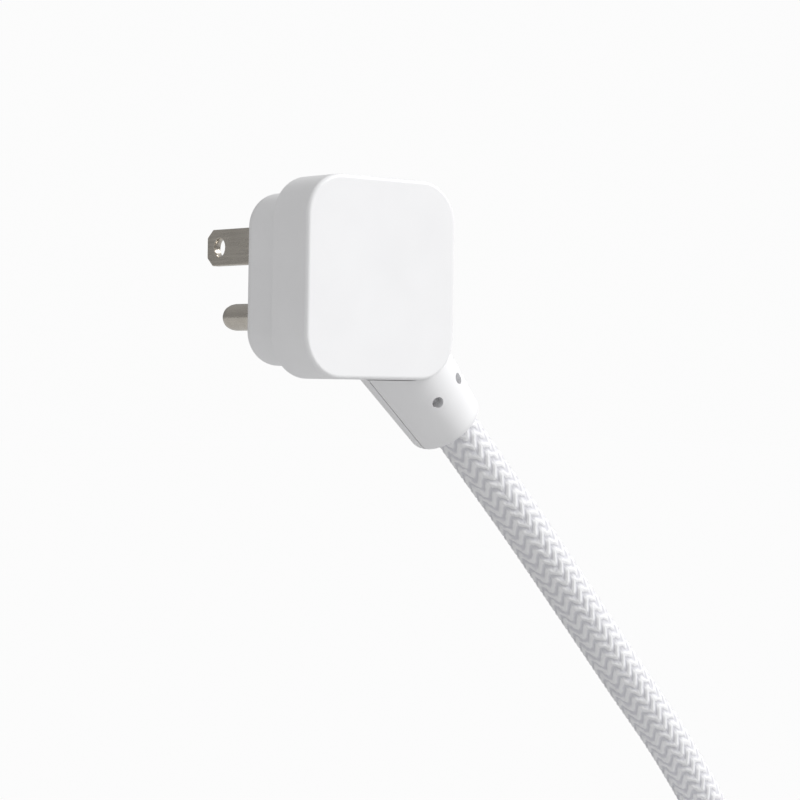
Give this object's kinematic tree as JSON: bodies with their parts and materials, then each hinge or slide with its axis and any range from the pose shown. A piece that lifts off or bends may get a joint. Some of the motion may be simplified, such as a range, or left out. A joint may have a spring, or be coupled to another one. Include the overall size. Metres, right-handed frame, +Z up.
{
  "type": "smart plug",
  "caption": "Soft-square plug head with a push button, grounded pins and a two-part strain relief, on a braided cord that ends in an in-line socket.",
  "frame": {"origin": "middle of the plug head's mating face, where it rests on the outlet", "axes": "+Z up, +Y into the wall along the pins, +X to the right as seen facing the wall"},
  "size_m": [0.1379, 0.0751, 0.2487],
  "materials": {
    "white_shell": "fine satin moulding",
    "grey_relief": "soft satin overmould",
    "button_plastic": "satin",
    "braid": "zigzag woven braid in white and pale grey",
    "strap": "woven strap",
    "nickel": "nickel plated brass",
    "brass": "spring brass",
    "zinc_steel": "zinc plated",
    "insulator": "matte",
    "circuit_board": "solder mask",
    "relay_case": "satin",
    "capacitor_sleeve": "shrink sleeve",
    "varistor_coat": "epoxy dip",
    "fuse_body": "glazed body",
    "ferrite": "matte",
    "shield_can": "tinned",
    "clear_guide": "clear",
    "led_body": "satin",
    "wire_black": "satin",
    "wire_white": "satin",
    "wire_green": "satin"
  },
  "bodies": {
    "root": {"rear_housing": "white_shell", "front_cover": "white_shell", "blade_neutral": "nickel", "blade_line": "nickel", "ground_pin": "nickel", "contact_carrier": "insulator", "main_board": "circuit_board", "board_screw_left": "zinc_steel", "board_screw_right": "zinc_steel", "relay": "relay_case", "capacitor": "capacitor_sleeve", "varistor": "varistor_coat", "fuse": "fuse_body", "power_inductor": "ferrite", "pin_header": "insulator", "radio_board": "circuit_board", "radio_shield": "shield_can", "button_board": "circuit_board", "tact_switch": "insulator", "status_led": "led_body", "light_pipe": "clear_guide", "strain_relief_front": "grey_relief", "strain_relief_rear": "grey_relief", "wire_line": "wire_black", "wire_neutral": "wire_white", "wire_ground": "wire_green", "cord_lead": "braid", "cord_coil": "braid", "cord_tail": "braid", "cord_tie": "strap", "socket_relief": "grey_relief", "socket_rear": "white_shell", "socket_face": "white_shell", "contact_block": "insulator", "socket_contact_neutral": "brass", "socket_contact_line": "brass", "socket_contact_ground": "brass", "socket_screw": "zinc_steel"},
    "button": {"push_button": "button_plastic", "switch_plunger": "led_body"}
  },
  "joints": [
    {"name": "button_press", "type": "slide", "parent": "root", "child": "button", "axis": [0, 0, -1], "range_m": [0, 0.0005], "stiffness_N_per_m": 2000}
  ]
}
